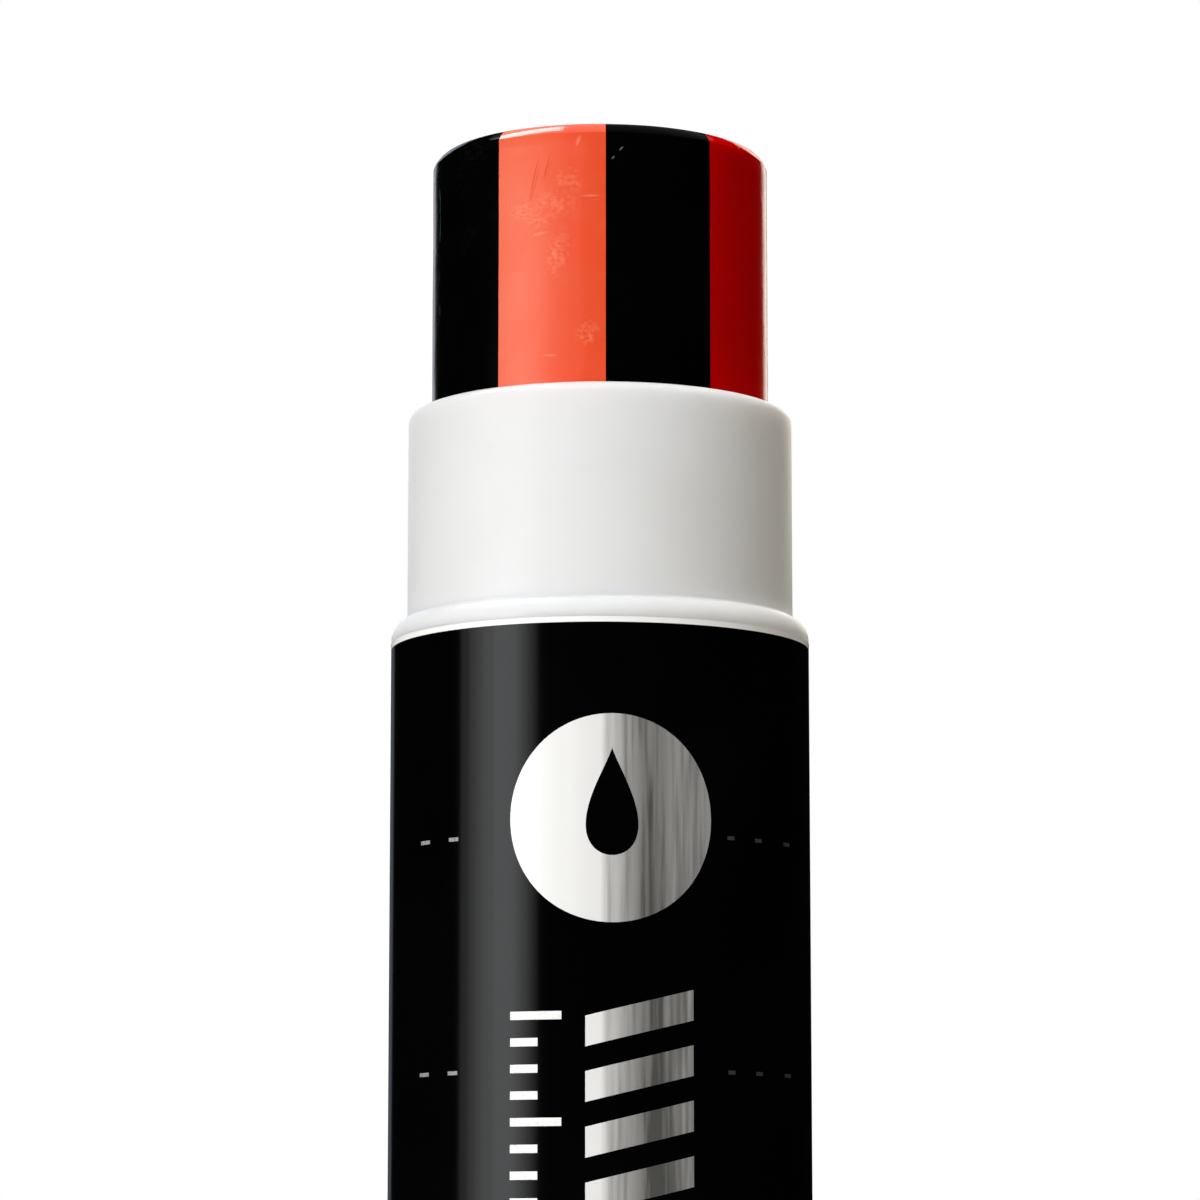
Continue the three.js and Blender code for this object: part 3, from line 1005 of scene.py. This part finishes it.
lamps = {  # azimuths in degrees from the front, distances from the marker's axis
    "front": {
        "azimuth": -29,
        "distance": 0.5,
        "height": 0.2,
        "size": (0.25, 0.25),
        "radiance": 13.1,
        "glossy": False,
    },
    "backLeft": {
        "azimuth": -150,
        "distance": 0.5,
        "height": 0.2,
        "size": (0.25, 0.25),
        "radiance": 7.8,
        "glossy": False,
    },
    "fill": {
        "azimuth": 120,
        "distance": 0.26,
        "height": 0.54,
        "size": (0.25, 0.25),
        "radiance": 9.0,
        "colour": (1.0, 0.97, 0.91),
        "glossy": False,
    },
    "top": {
        "azimuth": 150,
        "distance": 0.02,
        "height": 0.6,
        "size": (0.12, 0.12),
        "radiance": 26,
        "glossy": False,
    },
    "topLeft": {
        "azimuth": -106,
        "distance": 0.22,
        "height": 0.56,
        "size": (0.2, 0.24),
        "radiance": 9,
        "diffuse": False,
    },
    "rimRight": {
        "azimuth": 160,
        "distance": 0.45,
        "height": 0.285,
        "size": (0.13, 0.23),
        "radiance": 2.4,
        "colour": studio["warmTint"],
    },
    "rimLeft": {
        "azimuth": -162,
        "distance": 0.45,
        "height": 0.285,
        "size": (0.1, 0.23),
        "radiance": 1.6,
        "colour": studio["coldTint"],
    },
    "rimLow": {
        "azimuth": -162,
        "distance": 0.45,
        "height": 0.095,
        "size": (0.1, 0.15),
        "radiance": 0.17,
        "colour": studio["coldTint"],
    },
}


def makeLamp(name, azimuth, distance, height, size, radiance, colour=None, glossy=True, diffuse=True):
    lamp = bpy.data.lights.new(name, "AREA")
    lamp.shape = "RECTANGLE"
    lamp.size, lamp.size_y = size
    lamp.energy = radiance * math.pi * size[0] * size[1]
    lamp.color = colour or studio["lampTint"]
    thing = bpy.data.objects.new(name, lamp)
    bpy.context.scene.collection.objects.link(thing)
    thing.visible_camera = False
    thing.visible_glossy = glossy
    thing.visible_diffuse = diffuse
    angle = math.radians(azimuth)
    aim(thing, (distance * math.sin(angle), -distance * math.cos(angle), height), (0, 0, 0.09))


keyLamp = {
    "ends": ((-34, -59), (-37, -66), (-40, -70.5), (-43, -75), (-46, -81)),
    "distance": 0.5,
    "spacing": 0.01,
    "height": 0.122,
    "tall": 0.2,
    "radiance": 3.9,
}


def makeKey():  # lamps behind each other whose ends step back, so their light fades out sideways
    s = keyLamp
    for i, (right, left) in enumerate(s["ends"]):
        half = math.radians(right - left) / 2
        distance = s["distance"] + s["spacing"] * i
        size = (2 * distance * math.tan(half), s["tall"])
        radiance = s["radiance"] / len(s["ends"])
        makeLamp(f"key_{i + 1}", (right + left) / 2, distance, s["height"], size, radiance, diffuse=False)


def makeCard():
    bm = bmesh.new()
    verts = [bm.verts.new((0, -studio["cardRadius"], z)) for z in (0.002, studio["cardHeight"])]
    edge = bm.edges.new(verts)
    bmesh.ops.spin(
        bm, geom=verts + [edge], cent=(0, 0, 0), axis=(0, 0, 1), angle=fullTurn, steps=64, use_merge=True
    )
    mesh = bpy.data.meshes.new("darkCard")
    bm.to_mesh(mesh)
    bm.free()
    card = bpy.data.objects.new("darkCard", mesh)
    bpy.context.scene.collection.objects.link(card)
    material, r = newMaterial("blackCard")
    shader = r.node("BsdfDiffuse", {}, {"Color": grey(studio["card"])})
    r.node("OutputMaterial", {}, {"Surface": shader})
    mesh.materials.append(material)
    card.visible_camera = False
    card.visible_diffuse = False
    card.visible_shadow = False
    card.visible_transmission = False


cameraSet = {
    "distance": 0.2,
    "height": 0.0633,
    "pitch": math.radians(8.69),
    "lens": 140.64,
    "sensor": 36,
    "nearest": 0.005,
    "farthest": 20,
}


def makeCamera():
    camera = bpy.data.cameras.new("camera")
    camera.lens = cameraSet["lens"]
    camera.sensor_width = cameraSet["sensor"]
    camera.clip_start = cameraSet["nearest"]
    camera.clip_end = cameraSet["farthest"]
    thing = bpy.data.objects.new("camera", camera)
    bpy.context.scene.collection.objects.link(thing)
    thing.location = (0, -cameraSet["distance"], cameraSet["height"])
    thing.rotation_euler = (fullTurn / 4 + cameraSet["pitch"], 0, 0)
    bpy.context.scene.camera = thing


print("studio")
makeFloor()
makeWorld()
makeCard()
makeKey()
for name, lamp in lamps.items():
    makeLamp(name, **lamp)
makeCamera()
bpy.context.scene.view_settings.view_transform = "Standard"
